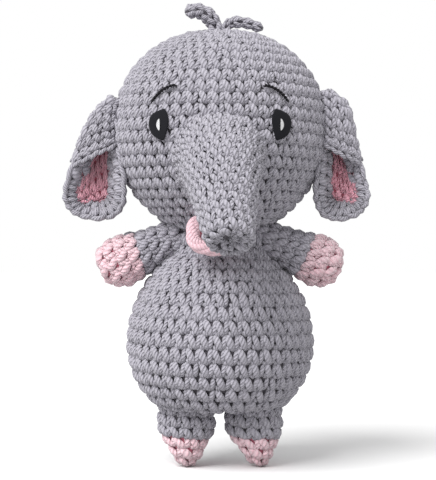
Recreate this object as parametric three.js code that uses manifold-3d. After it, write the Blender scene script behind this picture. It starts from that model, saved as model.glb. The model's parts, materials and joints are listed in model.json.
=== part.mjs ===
// A crocheted elephant toy, standing on the flattened soles of its two feet.
// Millimetres, +Z up. The face looks along -Y, and the toy's own left side is +X.
// The origin is the middle of the bounding box's bottom, level with the soles.
//
// Every stuffed piece is a crocheted cover, open where it is sewn on, with its filling inside.
// A piece that flops ends in a ball, which sits in a hollow of its neighbour, so it can turn there.

import * as THREE from 'three';
import { ParametricGeometry } from 'three/addons/geometries/ParametricGeometry.js';
import { mergeVertices } from 'three/addons/utils/BufferGeometryUtils.js';
import Module from 'manifold-3d';

const wasm = await Module();
wasm.setup();

// Driving dimensions.
const FABRIC = 3;            // thickness of the crocheted fabric
const GAP = 0.35;            // room between pieces that touch
const YARN = 0.9;            // radius of the sewing yarn in the seams
const AXIS_Y = 21.3;         // the upright axis, behind the middle of the bounding box
const HEAD = { radius: 51.6, centre: 157, up: 51, down: 51, upPower: 2.2, downPower: 1.8, depth: 0.94 };
const BODY = { radius: 44.6, centre: 60, up: 52, down: 40, upPower: 1.8, downPower: 2.4, depth: 0.93 };
const BODY_TOP = 103;        // where the body's cover ends, at the neck
const NECK_Z = 104;          // centre of the ball that the head turns on
const NECK_R = 18;
const NECK_SEAM = { radius: 20.4, z: 109.4 };
const SHOULDER = { x: 27.4, y: -3, z: 104.6, slope: 22.5, radius: 6.8 };
const SHOULDER_ROOM = 12;    // radius of the hollow that an arm swings in
const ARM_SEAM = { radius: 7.55, back: 2.6 };
const WRIST = 14;            // from the shoulder to the change to pink
const HAND_TIP = 34.6;
const HIP = { x: 16, y: -3, z: 22, radius: 13.3 };
const ANKLE_Z = 12.6;        // the change from grey to pink above the foot
const SOLE_R = 6.4;
const FOOT_STRETCH = 0.4;    // how much longer than wide a foot is, as a share
const TRUNK_PATH = [[-0.5, -36, 150], [0.2, -62, 144], [4, -87, 106.5]];
const TRUNK_ROOT_R = 24.5;
const TRUNK_TIP_R = 12.6;
const TRUNK_BEND = 0.5;      // where along its length the trunk bends
const TRUNK_SEAM = { x: -0.5, z: 148.5, halfWidth: 22.3, halfHeight: 21.3 };
const TIP_DISC = { radius: 7.4, thick: 2.4 };
const EYE = { x: 29.2, z: 160.8, width: 11.2, height: 15, thick: 1.2, lift: 0.9 };
const GLINT = { inward: 0.4, drop: 0.3, width: 2.4, height: 6, thick: 0.5 };
const BROW_R = 0.6;
const LIP_R = 2.5;
const EAR_THICK = 3.4;
const EAR_CUP = 9;           // how deep the ear is cupped
const RIM_R = 2.1;

// How finely round pieces are divided.
const LARGE_SIDES = 22;
const SMALL_SIDES = 14;
const YARN_SIDES = 6;

// Colours: grey and pink yarn, black felt and thread.
const GREY = '#aeabb2';
const SHADED_GREY = '#9c98a1';
const PALE_PINK = '#ecc3ca';
const EAR_PINK = '#bd6f7c';
const LIP_PINK = '#eeb4bb';
const BLACK = '#222126';
const WHITE = '#f2f1ef';
const FILLING = '#f4f2ec';

const elephant = new THREE.Group();

// Helpers.

const vector = (x, y, z) => new THREE.Vector3(x, y, z);

/** A closed geometry as a solid that can be cut and joined, with its faces turned outwards. */
function solid(geometry) {
  geometry.deleteAttribute('normal');
  geometry.deleteAttribute('uv');
  const merged = mergeVertices(geometry, 1e-4);
  const index = merged.index.array;
  const kept = [];
  for (let i = 0; i < index.length; i += 3) {
    const [a, b, c] = [index[i], index[i + 1], index[i + 2]];
    if (a !== b && b !== c && c !== a) kept.push(a, b, c);
  }
  const made = fromTriangles(merged.attributes.position.array, kept);
  return made.volume() > 0 ? made : fromTriangles(merged.attributes.position.array, kept.reverse());
}

function fromTriangles(positions, corners) {
  return new wasm.Manifold(new wasm.Mesh({
    numProp: 3,
    vertProperties: new Float32Array(positions),
    triVerts: new Uint32Array(corners),
  }));
}

/** Adds one piece of the toy to the group, with a material of its own. */
function piece(name, shape, color, roughness = 0.95) {
  const { vertProperties, triVerts } = shape.getMesh();
  const geometry = new THREE.BufferGeometry();
  geometry.setAttribute('position', new THREE.BufferAttribute(new Float32Array(vertProperties), 3));
  geometry.setIndex(new THREE.BufferAttribute(new Uint32Array(triVerts), 1));
  geometry.computeVertexNormals();
  const mesh = new THREE.Mesh(geometry, new THREE.MeshStandardMaterial({ color, roughness, metalness: 0 }));
  mesh.name = name;
  elephant.add(mesh);
}

/** A closed surface: around(u, v) runs once round at u from 0 to 1, and closes up at v = 0 and v = 1. */
function closedSurface(around, slices, stacks) {
  return solid(new ParametricGeometry(around, slices, stacks));
}

/** An egg-like form of revolution about Z, with its own fullness above and below its widest level. */
function bulb(form, grow = 0) {
  const rings = 10;
  const points = [];
  for (let i = 0; i <= rings; i++) {
    const angle = Math.PI * (i / rings - 0.5);
    const power = 2 / (angle > 0 ? form.upPower : form.downPower);
    const reach = (angle > 0 ? form.up : form.down) + grow;
    const radius = i % rings === 0 ? 0 : (form.radius + grow) * Math.cos(angle) ** power;
    points.push(new THREE.Vector2(radius, Math.sign(angle) * reach * Math.abs(Math.sin(angle)) ** power));
  }
  const geometry = new THREE.LatheGeometry(points, LARGE_SIDES);
  geometry.rotateX(Math.PI / 2);
  geometry.scale(1, form.depth, 1);
  geometry.translate(0, 0, form.centre);
  return solid(geometry);
}

/** How far the head reaches forward at a point of its front, so that a piece can lie on it. */
function faceY(x, z) {
  const rise = z - HEAD.centre;
  const power = rise > 0 ? HEAD.upPower : HEAD.downPower;
  const share = Math.abs(rise) / (rise > 0 ? HEAD.up : HEAD.down);
  const radius = HEAD.radius * (1 - share ** power) ** (1 / power);
  return -HEAD.depth * Math.sqrt(radius * radius - x * x);
}

function ball(centre, radius, sides = SMALL_SIDES) {
  const geometry = new THREE.SphereGeometry(radius, sides, sides / 2);
  geometry.rotateX(Math.PI / 2);
  geometry.translate(centre.x, centre.y, centre.z);
  return solid(geometry);
}

/** All the room on the side of a plane that its normal points to. */
function beyond(point, normal) {
  const size = 400;
  const geometry = new THREE.BoxGeometry(size, size, size);
  geometry.translate(0, 0, size / 2);
  geometry.applyQuaternion(new THREE.Quaternion().setFromUnitVectors(vector(0, 0, 1), normal));
  geometry.translate(point.x, point.y, point.z);
  return solid(geometry);
}

/** A round body along a curve, whose radius follows radiusAt and closes roundly at both ends. */
function limb(curve, radiusAt, side, slices, stacks) {
  return closedSurface((u, v, target) => {
    const along = (1 - Math.cos(Math.PI * v)) / 2;
    const centre = curve.getPoint(along);
    const across = vector(0, 0, 0).crossVectors(curve.getTangent(along), side).normalize();
    const radius = v === 0 || v === 1 ? 0 : radiusAt(along);
    const turn = 2 * Math.PI * (u === 1 ? 0 : u);
    target.copy(centre);
    target.addScaledVector(across, radius * Math.cos(turn));
    target.addScaledVector(side, radius * Math.sin(turn));
  }, slices, stacks);
}

/** The share of its full radius that a blunt-ended body has at a point of its length. */
function blunt(along, power) {
  return Math.sqrt(1 - Math.abs(2 * along - 1) ** power);
}

/** Yarn, thread or a crocheted chain of one thickness, with blunt ends. */
function strand(points, radius, side, stacks = 10) {
  const curve = new THREE.CatmullRomCurve3(points);
  return limb(curve, (along) => radius * blunt(along, 14), side, YARN_SIDES, stacks);
}

/** A ring of yarn along a closed path. */
function ring(pathAt, radius, side) {
  return closedSurface((u, v, target) => {
    const turn = 2 * Math.PI * (u === 1 ? 0 : u);
    const share = v === 1 ? 0 : v;
    const centre = pathAt(share);
    const ahead = pathAt(share + 0.001).sub(centre);
    const across = vector(0, 0, 0).crossVectors(ahead, side).normalize();
    target.copy(centre);
    target.addScaledVector(across, radius * Math.cos(turn));
    target.addScaledVector(side, radius * Math.sin(turn));
  }, YARN_SIDES, LARGE_SIDES);
}

// Head, neck and body.

const neck = vector(0, 0, NECK_Z);
const neckSocket = ball(neck, NECK_R + GAP, LARGE_SIDES);

function makeBody() {
  const above = beyond(vector(0, 0, BODY_TOP), vector(0, 0, 1));
  let hollows = above.add(neckSocket);
  for (const sign of [-1, 1]) {
    hollows = hollows.add(ball(shoulderAt(sign), SHOULDER_ROOM));
    hollows = hollows.add(ball(hipAt(sign), HIP.radius + 2 * GAP));
  }
  hollows = hollows.add(tailRoot(GAP));
  const inside = bulb(BODY, -FABRIC);
  piece('body_cover', bulb(BODY).subtract(inside).subtract(hollows), GREY);
  piece('body_filling', bulb(BODY, -FABRIC - GAP).subtract(hollows), FILLING, 1);
  piece('neck_filling', ball(neck, NECK_R, LARGE_SIDES), FILLING, 1);
}

function makeHead() {
  const inside = bulb(HEAD, -FABRIC);
  piece('head_cover', bulb(HEAD).subtract(inside).subtract(neckSocket), GREY);
  piece('head_filling', bulb(HEAD, -FABRIC - GAP).subtract(neckSocket), FILLING, 1);
  const circle = (share) => vector(
    NECK_SEAM.radius * Math.cos(2 * Math.PI * share),
    HEAD.depth * NECK_SEAM.radius * Math.sin(2 * Math.PI * share),
    NECK_SEAM.z,
  );
  piece('neck_seam', ring(circle, YARN, vector(0, 0, 1)), SHADED_GREY);
}

// Arms. Each is a cover with a pink hand, on a ball at the shoulder.

function shoulderAt(sign) {
  return vector(sign * SHOULDER.x, SHOULDER.y, SHOULDER.z);
}

function armDirection(sign) {
  const slope = THREE.MathUtils.degToRad(SHOULDER.slope);
  return vector(sign * Math.cos(slope), 0, -Math.sin(slope));
}

function armSolid(sign, grow = 0) {
  const outline = new THREE.SplineCurve([
    new THREE.Vector2(SHOULDER.radius, 0),
    new THREE.Vector2(7.2, 4),
    new THREE.Vector2(8.8, 8.5),
    new THREE.Vector2(11.8, 16.4),
    new THREE.Vector2(13, 21.8),
    new THREE.Vector2(12.4, 26.8),
    new THREE.Vector2(9.4, 31.4),
    new THREE.Vector2(4.4, 33.9),
  ]);
  const points = [new THREE.Vector2(0, -SHOULDER.radius - grow)];
  for (const turn of [-70, -48, -24]) {
    const angle = THREE.MathUtils.degToRad(turn);
    points.push(new THREE.Vector2(Math.cos(angle), Math.sin(angle)).multiplyScalar(SHOULDER.radius + grow));
  }
  const steps = 10;
  for (let i = 0; i <= steps; i++) {
    const point = outline.getPoint(i / steps);
    const tangent = outline.getTangent(i / steps);
    points.push(point.add(new THREE.Vector2(tangent.y, -tangent.x).multiplyScalar(grow)));
  }
  points.push(new THREE.Vector2(0, HAND_TIP + grow));
  const geometry = new THREE.LatheGeometry(points, SMALL_SIDES);
  geometry.applyQuaternion(new THREE.Quaternion().setFromUnitVectors(vector(0, 1, 0), armDirection(sign)));
  const centre = shoulderAt(sign);
  geometry.translate(centre.x, centre.y, centre.z);
  return solid(geometry);
}

/** The ring of sewing yarn round an arm's root, just behind the shoulder ball's middle. */
function armSeam(sign) {
  const centre = shoulderAt(sign).addScaledVector(armDirection(sign), -ARM_SEAM.back);
  const up = vector(0, 0, 0).crossVectors(armDirection(sign), vector(0, 1, 0)).normalize();
  const circle = (share) => centre.clone()
    .addScaledVector(up, ARM_SEAM.radius * Math.cos(2 * Math.PI * share))
    .add(vector(0, ARM_SEAM.radius * Math.sin(2 * Math.PI * share), 0));
  return ring(circle, YARN, armDirection(sign));
}

function makeArm(name, sign) {
  const cover = armSolid(sign).subtract(armSolid(sign, -FABRIC));
  const wrist = shoulderAt(sign).addScaledVector(armDirection(sign), WRIST);
  const handSide = beyond(wrist, armDirection(sign));
  const pastGap = beyond(wrist.clone().addScaledVector(armDirection(sign), GAP), armDirection(sign));
  piece(`${name}_arm_cover`, cover.subtract(handSide), GREY);
  piece(`${name}_hand_cover`, cover.intersect(pastGap), PALE_PINK);
  piece(`${name}_arm_filling`, armSolid(sign, -FABRIC - GAP), FILLING, 1);
  piece(`${name}_arm_seam`, armSeam(sign), SHADED_GREY);
}

// Legs. They carry on from the body as short stumps, on balls at the hips.

function hipAt(sign) {
  return vector(sign * HIP.x, HIP.y, HIP.z);
}

function legSolid(sign, grow = 0) {
  const ballRings = 4;
  const outline = new THREE.SplineCurve([
    new THREE.Vector2(HIP.radius, 0),
    new THREE.Vector2(13.1, 5),
    new THREE.Vector2(12.5, 9.5),
    new THREE.Vector2(11.2, 13.4),
    new THREE.Vector2(9.4, 17),
    new THREE.Vector2(7.6, 20.2),
    new THREE.Vector2(SOLE_R, HIP.z),
  ]);
  const stumpRings = 6;
  const stacks = ballRings + stumpRings + 1;
  return closedSurface((u, v, target) => {
    const row = Math.round(v * stacks);
    let radius = 0;
    let drop = HIP.z + grow;
    if (row < ballRings) {
      const angle = (Math.PI / 2) * (1 - row / ballRings);
      radius = row === 0 ? 0 : (HIP.radius + grow) * Math.cos(angle);
      drop = -(HIP.radius + grow) * Math.sin(angle);
    } else if (row < stacks) {
      const share = (row - ballRings) / stumpRings;
      const point = outline.getPoint(share);
      radius = point.x + grow;
      drop = Math.min(point.y, HIP.z + grow);
    }
    const stretch = 1 + FOOT_STRETCH * THREE.MathUtils.smoothstep(drop, 6, 18);
    const turn = 2 * Math.PI * (u === 1 ? 0 : u);
    target.set(radius * Math.cos(turn), stretch * radius * Math.sin(turn), -drop).add(hipAt(sign));
  }, SMALL_SIDES, stacks);
}

function makeLeg(name, sign) {
  const cover = legSolid(sign).subtract(legSolid(sign, -FABRIC));
  const below = beyond(vector(0, 0, ANKLE_Z), vector(0, 0, -1));
  const pastGap = beyond(vector(0, 0, ANKLE_Z - GAP), vector(0, 0, -1));
  piece(`${name}_leg_cover`, cover.subtract(below), GREY);
  piece(`${name}_foot_cover`, cover.intersect(pastGap), PALE_PINK);
  piece(`${name}_leg_filling`, legSolid(sign, -FABRIC - GAP), FILLING, 1);
}

// Trunk. Its upper part is sewn to the face, and its lower part bends on a ball.

const trunkCurve = new THREE.QuadraticBezierCurve3(...TRUNK_PATH.map((point) => vector(...point)));
const trunkSide = vector(1, 0, 0);

function trunkRadius(along) {
  return THREE.MathUtils.lerp(TRUNK_ROOT_R, TRUNK_TIP_R, along ** 0.72);
}

/** The trunk's outer form, grown all round and at its tip, or shrunk where grow is negative. */
function trunkSolid(grow = 0) {
  const reach = 1 + grow / trunkCurve.getLength();
  const radiusAt = (along) => (trunkRadius(along) + grow) * blunt(along, 16);
  const curve = {
    getPoint: (along) => trunkCurve.getPoint(along * reach),
    getTangent: (along) => trunkCurve.getTangent(along * reach),
  };
  return limb(curve, radiusAt, trunkSide, SMALL_SIDES, 12);
}

function makeTrunk() {
  const bend = trunkCurve.getPoint(TRUNK_BEND);
  const heading = trunkCurve.getTangent(TRUNK_BEND);
  const bendR = trunkRadius(TRUNK_BEND) - GAP;
  const halfRoom = 2.5;
  const below = beyond(bend.clone().addScaledVector(heading, -halfRoom), heading);
  const lower = beyond(bend.clone().addScaledVector(heading, halfRoom), heading);
  const socket = ball(bend, bendR + 2 * GAP, LARGE_SIDES);
  const headRoom = bulb(HEAD, GAP);
  const seam = trunkSeam(GAP);

  const rootCut = below.add(socket).add(headRoom).add(seam);
  piece('trunk_root_cover', trunkSolid().subtract(trunkSolid(-FABRIC)).subtract(rootCut), GREY);
  piece('trunk_root_filling', trunkSolid(-FABRIC - GAP).subtract(rootCut), FILLING, 1);
  piece('trunk_seam', trunkSeam(), SHADED_GREY);

  const outer = trunkSolid().intersect(lower).add(ball(bend, bendR, LARGE_SIDES));
  const inner = trunkSolid(-FABRIC).intersect(lower).add(ball(bend, bendR - FABRIC));
  const filling = trunkSolid(-FABRIC - GAP).intersect(lower).add(ball(bend, bendR - FABRIC - GAP));
  const tip = trunkCurve.getPoint(1);
  const tipHeading = trunkCurve.getTangent(1);
  const sunk = tip.clone().addScaledVector(tipHeading, -TIP_DISC.thick);
  const holeDepth = 2 * FABRIC + 2;
  const hole = disc(tip, tipHeading, TIP_DISC.radius + GAP, holeDepth);
  const widerHole = disc(tip, tipHeading, TIP_DISC.radius + 1, holeDepth);
  piece('trunk_end_cover', outer.subtract(inner).subtract(hole), GREY);
  piece('trunk_tip_disc', disc(sunk, tipHeading, TIP_DISC.radius, TIP_DISC.thick), SHADED_GREY);
  piece('trunk_end_filling', filling.subtract(widerHole), FILLING, 1);
}

/** A short round disc centred on a point. */
function disc(centre, axis, radius, thick) {
  const geometry = new THREE.CylinderGeometry(radius, radius, thick, SMALL_SIDES);
  geometry.applyQuaternion(new THREE.Quaternion().setFromUnitVectors(vector(0, 1, 0), axis));
  geometry.translate(centre.x, centre.y, centre.z);
  return solid(geometry);
}

/** The sewing yarn where the trunk meets the face. */
function trunkSeam(grow = 0) {
  const clearOfFace = YARN + 2 * GAP;
  const seamAt = (share) => {
    const turn = 2 * Math.PI * share;
    const x = TRUNK_SEAM.x + TRUNK_SEAM.halfWidth * Math.cos(turn);
    const z = TRUNK_SEAM.z + TRUNK_SEAM.halfHeight * Math.sin(turn);
    return vector(x, faceY(x, z) - clearOfFace, z);
  };
  return ring(seamAt, YARN + grow, vector(0, -1, 0));
}

// Face: eyes of black felt with a white glint, thread brows and the pink mouth.

/** A flat half-oval of felt, laid on the face. It is straight on one side, and bulges to bulgeSign. */
function feltPatch({ width, height, thick }, x, z, bulgeSign, lift) {
  const outline = new THREE.Shape();
  outline.moveTo(0, -height / 2);
  outline.bezierCurveTo(width * 0.75, -height * 0.5, width * 1.25, -height * 0.1, width, height * 0.15);
  outline.bezierCurveTo(width * 0.85, height * 0.45, width * 0.35, height * 0.5, 0, height / 2);
  outline.closePath();
  const flat = { depth: thick, bevelEnabled: false, curveSegments: 8 };
  const geometry = new THREE.ExtrudeGeometry(outline, flat);
  geometry.translate(-width / 2, 0, 0);
  if (bulgeSign < 0) geometry.rotateY(Math.PI).translate(0, 0, thick);
  const step = 0.5;
  const across = vector(step, faceY(x + step, z) - faceY(x, z), 0).normalize();
  const up = vector(0, faceY(x, z + step) - faceY(x, z), step).normalize();
  const out = vector(0, 0, 0).crossVectors(across, up).normalize();
  const upright = vector(0, 0, 0).crossVectors(out, across).normalize();
  geometry.applyMatrix4(new THREE.Matrix4().makeBasis(across, upright, out));
  const place = vector(x, faceY(x, z), z).addScaledVector(out, lift);
  geometry.translate(place.x, place.y, place.z);
  return solid(geometry);
}

function makeEye(name, sign) {
  piece(`${name}_eye`, feltPatch(EYE, sign * EYE.x, EYE.z, sign, EYE.lift), BLACK, 0.9);
  const glintX = sign * (EYE.x - GLINT.inward);
  const glint = feltPatch(GLINT, glintX, EYE.z - GLINT.drop, -1, EYE.lift + EYE.thick + GAP);
  piece(`${name}_eye_glint`, glint, WHITE, 0.8);
  const brow = [[20.2, 180.4], [24.4, 180.2], [29, 177], [33.6, 172.6]];
  const points = brow.map(([x, z]) => vector(sign * x, faceY(x, z) - BROW_R - 0.5, z));
  piece(`${name}_brow`, strand(points, BROW_R, vector(0, 0, 1), 8), BLACK, 0.8);
}

function makeMouth() {
  const halfLip = [[15.4, -30.5, 117.5], [16.4, -33, 109.5], [12.6, -35, 102.6], [6.5, -36.2, 100.2]];
  const points = [
    ...halfLip.map(([x, y, z]) => vector(-x, y, z)),
    vector(0, -36.5, 99.6),
    ...halfLip.map(([x, y, z]) => vector(x, y, z)).reverse(),
  ];
  const curve = new THREE.CatmullRomCurve3(points);
  const lip = limb(curve, (along) => LIP_R * blunt(along, 14), vector(0, 1, 0), YARN_SIDES, 18);
  piece('mouth_lip', lip, LIP_PINK);
  const outline = new THREE.Shape();
  outline.moveTo(-12.6, 5);
  outline.lineTo(-13, -3);
  outline.bezierCurveTo(-11, -12, 11, -12, 13, -3);
  outline.lineTo(12.6, 5);
  outline.closePath();
  const flat = { depth: 2, bevelEnabled: false, curveSegments: 10 };
  const geometry = new THREE.ExtrudeGeometry(outline, flat);
  const leanBack = 0.2;
  geometry.rotateX(Math.PI / 2 - leanBack);
  geometry.translate(0, -31, 112);
  piece('mouth_lining', solid(geometry).subtract(bulb(HEAD, GAP)), EAR_PINK);
}

// Ears. Each is a cupped leaf, sewn to the side of the head by its upper inner edge, with the top of
// its outer edge folded over the front, a pink middle and a chain of stitches along its rim.

const earInner = new THREE.CatmullRomCurve3([
  [53.6, 174], [54, 166], [54, 156], [52.6, 146], [48.6, 136], [47.4, 127], [50.5, 119.5], [57, 115.6],
].map(([x, z]) => vector(x, -7, z)));
const earOuter = new THREE.CatmullRomCurve3([
  [54.4, 174.6], [60, 167.5], [66.5, 155.5], [70.7, 144],
  [73.4, 133], [73.2, 124.5], [68.6, 118], [61, 115.2],
].map(([x, z]) => vector(x, -7, z)));

/** A point of the ear: across runs from its inner edge to its outer edge, and down from top to bottom. */
function earPoint(sign, across, down, forward) {
  const point = earInner.getPoint(down).lerp(earOuter.getPoint(down), across);
  const cup = EAR_CUP * Math.sin(Math.PI * across) * Math.sin(Math.PI * Math.min(1, down * 0.9 + 0.08));
  point.y += cup - forward;
  point.x *= sign;
  return point;
}

/** A leaf of cloth between two lines across and down the ear, standing forward of its middle surface. */
function earLeaf(sign, { from, to, top, bottom, forward, thick }) {
  return closedSurface((u, v, target) => {
    const down = THREE.MathUtils.lerp(top, bottom, (1 - Math.cos(Math.PI * v)) / 2);
    const share = u === 1 ? 0 : u;
    const front = share < 0.5;
    const run = front ? share * 2 : 2 - share * 2;
    const closing = v === 0 || v === 1 ? 0 : blunt(v, 8);
    const across = THREE.MathUtils.lerp(from, to, 0.5 + (run - 0.5) * closing);
    const edge = Math.sin(Math.PI * run) ** 0.3;
    const proud = (front ? 0.5 : -0.5) * thick * (run === 0 || run === 1 ? 0 : edge) * closing;
    target.copy(earPoint(sign, across, down, forward + proud));
  }, 10, 8);
}

function makeEar(name, sign) {
  const rimPoints = [];
  const rimSteps = 9;
  for (let i = 2; i <= rimSteps; i++) {
    rimPoints.push(earPoint(sign, 0, i / rimSteps, 0));
  }
  for (let i = rimSteps - 1; i >= 1; i--) {
    rimPoints.push(earPoint(sign, 1, i / rimSteps, 0));
  }
  const rimCurve = new THREE.CatmullRomCurve3(rimPoints);
  const rim = (grow) => {
    const radiusAt = (along) => (RIM_R + grow) * blunt(along, 30);
    return limb(rimCurve, radiusAt, vector(0, 1, 0), YARN_SIDES, 24);
  };
  const leaf = earLeaf(sign, { from: 0, to: 1, top: 0, bottom: 1, forward: 0, thick: EAR_THICK });
  const fold = earLeaf(sign, { from: 0.06, to: 1, top: 0.02, bottom: 0.46, forward: 6.5, thick: 3 });
  const hem = earLeaf(sign, { from: 0.8, to: 1, top: 0.1, bottom: 0.44, forward: 3.4, thick: 7 });
  piece(`${name}_ear_cover`, leaf.add(fold).add(hem).subtract(rim(GAP)), GREY);
  piece(`${name}_ear_rim`, rim(0), GREY);
  const middle = { from: 0.24, to: 0.76, top: 0.5, bottom: 0.86, forward: EAR_THICK / 2 + 1.9, thick: 1.8 };
  piece(`${name}_ear_middle`, earLeaf(sign, middle), EAR_PINK);
  const seam = [[52.6, 175.6], [52.2, 168], [52.4, 160], [52, 151]];
  const seamPoints = seam.map(([x, z]) => vector(sign * (x - 1.6), -13.5, z));
  piece(`${name}_ear_seam`, strand(seamPoints, YARN, vector(0, 1, 0), 8), SHADED_GREY);
}

// Hair tufts on the crown and the tail: short crocheted chains.

function makeTufts() {
  const curled = [[-3, -5, 211.4], [-6, -5.4, 214.2], [-10.6, -6, 216.3], [-16.6, -6.6, 216]];
  piece('right_hair_tuft', strand(curled.map((point) => vector(...point)), 3, vector(0, 1, 0)), GREY);
  const lying = [[3.4, -5, 210.9], [8.5, -5.4, 211.3], [14.5, -6, 210.2], [20.6, -6.4, 207.7]];
  piece('left_hair_tuft', strand(lying.map((point) => vector(...point)), 2.3, vector(0, 1, 0)), GREY);
}

const tailPoints = [[0, 40.6, 49], [0, 45, 45.6], [0, 47.6, 38], [0, 48.2, 30]];
const tailPath = tailPoints.map((point) => vector(...point));

function tailRoot(grow = 0) {
  return ball(tailPath[0], 2.6 + grow, 10);
}

function makeTail() {
  const side = vector(1, 0, 0);
  const cord = strand(tailPath, 2.2, side);
  const knot = ball(tailPath[3], 3.4, 10);
  piece('tail', cord.add(knot), GREY);
}

makeBody();
makeHead();
makeTrunk();
makeMouth();
makeTufts();
makeTail();
for (const [name, sign] of [['right', -1], ['left', 1]]) {
  makeArm(name, sign);
  makeLeg(name, sign);
  makeEar(name, sign);
  makeEye(name, sign);
}
elephant.position.y = AXIS_Y;

export default elephant;
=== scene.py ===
"""A crocheted elephant toy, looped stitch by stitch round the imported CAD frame.

Lengths below are millimetres in the toy's own frame: +Z up, the face looking along -Y, and the
toy's upright axis at x = 0, y = 0. to_frame() turns them into metres in the row frame.
"""

import json
import math

import bmesh
import bpy
import numpy as np
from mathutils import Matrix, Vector


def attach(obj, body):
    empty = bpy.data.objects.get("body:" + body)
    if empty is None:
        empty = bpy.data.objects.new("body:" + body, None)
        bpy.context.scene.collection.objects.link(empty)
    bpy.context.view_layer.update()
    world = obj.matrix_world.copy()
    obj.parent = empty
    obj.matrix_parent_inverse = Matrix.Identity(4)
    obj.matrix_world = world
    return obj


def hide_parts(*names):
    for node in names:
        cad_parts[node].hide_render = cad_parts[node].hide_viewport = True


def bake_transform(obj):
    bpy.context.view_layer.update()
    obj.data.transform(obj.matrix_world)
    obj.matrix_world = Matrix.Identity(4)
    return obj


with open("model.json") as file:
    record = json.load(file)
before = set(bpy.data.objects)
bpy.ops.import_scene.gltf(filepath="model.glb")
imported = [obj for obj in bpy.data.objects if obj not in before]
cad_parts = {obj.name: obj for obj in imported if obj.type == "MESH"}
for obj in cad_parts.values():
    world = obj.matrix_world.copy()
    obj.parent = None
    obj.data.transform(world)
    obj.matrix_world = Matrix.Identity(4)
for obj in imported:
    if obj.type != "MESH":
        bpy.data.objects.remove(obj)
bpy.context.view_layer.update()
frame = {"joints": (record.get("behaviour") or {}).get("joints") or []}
joints = {joint["name"]: joint for joint in frame["joints"]}

MM = 0.001
AXIS_Y = joints["neck_turn"]["pos_m"][1] / MM
SIDES = (("right", -1), ("left", 1))

# The egg-like forms of the head and body: how far each reaches up and down from its centre, how square
# its outline is there, and its depth as a share of its width.
HEAD = {
    "radius": 51.6, "centre": 157, "depth": 0.94,
    "up": 51.4, "down": 49.8, "up_power": 2.25, "down_power": 1.8,
}
BODY = {
    "radius": 44.6, "centre": 60, "depth": 0.93,
    "up": 52, "down": 40, "up_power": 1.8, "down_power": 2.25,
}
HEAD_FOOT_Z = 107
BODY_TOP_Z = 106
CROTCH_Z = 29

TRUNK_PATH = [(-0.5, -36, 146.5), (0.2, -62, 141.5), (4, -87, 106.5)]
TRUNK_ROOT_R = 24.5
TRUNK_TIP_R = 11.5

# The arms: how far out from the shoulder the wrist and fingertips are, and how high the arms lie over
# their joints.
SHOULDER_SLOPE = math.radians(22.5)
WRIST = 13
HAND_TIP = 33.4
ARM_LIFT = 1.5

# The legs: the height at which the pink foot ends, and the length from the hip to the sole.
FOOT_TOP_Z = 15.6
LEG_LENGTH = 22
FLOOR_GAP = 0.1

# How far the highest loops stand over the form that their stitches are placed on, and how far the smooth
# backing lies under it.
PROUD = 1.3
BACKING = 0.9

# How uneven the hand work is: the spread of each stitch's place, size and slant as shares of it, and of
# its height in millimetres.
UNEVEN = 0.05
UNEVEN_LIFT = 0.12

# Turns of the ply in each millimetre of yarn.
YARN_TWIST = 0.31

# The width and height of one stitch of each piece.
HEAD_STITCH = (5.9, 5.7)
BODY_STITCH = (6.0, 6.6)
NECK_STITCH = (5.8, 5.4)
TRUNK_STITCH = (4.5, 4.3)
ARM_STITCH = (6.1, 5.5)
LEG_STITCH = (5.8, 5.3)
EAR_STITCH = (5.0, 5.0)
EAR_BACK_STITCH = (5.0, 4.8)
EAR_MIDDLE_STITCH = (3.9, 6.4)
FOLD_STITCH = (5.0, 5.2)
HOLLOW_STITCH = (5.4, 5.4)


def joint_point(name):
    """A joint's place in the toy's own millimetres."""
    x, y, z = joints[name]["pos_m"]
    return np.array([x / MM, y / MM - AXIS_Y, z / MM])


def to_frame(points):
    """Points in the row frame, in metres, from the toy's own millimetres."""
    return (np.asarray(points, float) + (0, AXIS_Y, 0)) * MM


def unit(v):
    return v / np.maximum(np.linalg.norm(v, axis=-1, keepdims=True), 1e-9)


def smoothstep(x, low, high):
    """Eases from 0 at low to 1 at high."""
    t = np.clip((x - low) / (high - low), 0, 1)
    return t * t * (3 - 2 * t)


def spline(points, share):
    """Points of a smooth line through the given ones, at shares of its length from 0 to 1."""
    points = np.asarray(points, float)
    padded = np.vstack([2 * points[0] - points[1], points, 2 * points[-1] - points[-2]])
    place = np.clip(np.asarray(share, float), 0, 1) * (len(points) - 1)
    i = np.minimum(place.astype(int), len(points) - 2)
    t = (place - i)[..., None]
    a, b, c, d = (padded[i + k] for k in range(4))
    return 0.5 * (2 * b + (c - a) * t + (2 * a - 5 * b + 4 * c - d) * t**2 + (3 * b - a - 3 * c + d) * t**3)


def length_along(points):
    """The length run at each point of a line."""
    return np.concatenate([[0], np.cumsum(np.linalg.norm(np.diff(points, axis=0), axis=1))])


def tube_points(centre, side, over, half_width, half_thick, sides, first_angle=0.0):
    """Rings of points round a line, given the two directions across it and how far to go in each."""
    angles = first_angle + 2 * math.pi * np.arange(sides) / sides
    wide = side[:, None] * np.cos(angles)[:, None] * np.reshape(half_width, (-1, 1, 1))
    thick = over[:, None] * np.sin(angles)[:, None] * np.reshape(half_thick, (-1, 1, 1))
    return centre[:, None] + wide + thick


def tube_faces(rings, sides, first=0):
    """The faces between rings of points, with a cap at each end."""
    faces = []
    for i in range(rings - 1):
        for k in range(sides):
            a, b = first + i * sides + k, first + i * sides + (k + 1) % sides
            faces.append((a, b, b + sides, a + sides))
    last = first + (rings - 1) * sides
    faces.append(tuple(first + k for k in reversed(range(sides))))
    faces.append(tuple(last + k for k in range(sides)))
    return faces


# Stitch patterns: each is a set of loops of yarn, in a cell one stitch wide and one row high.


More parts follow.
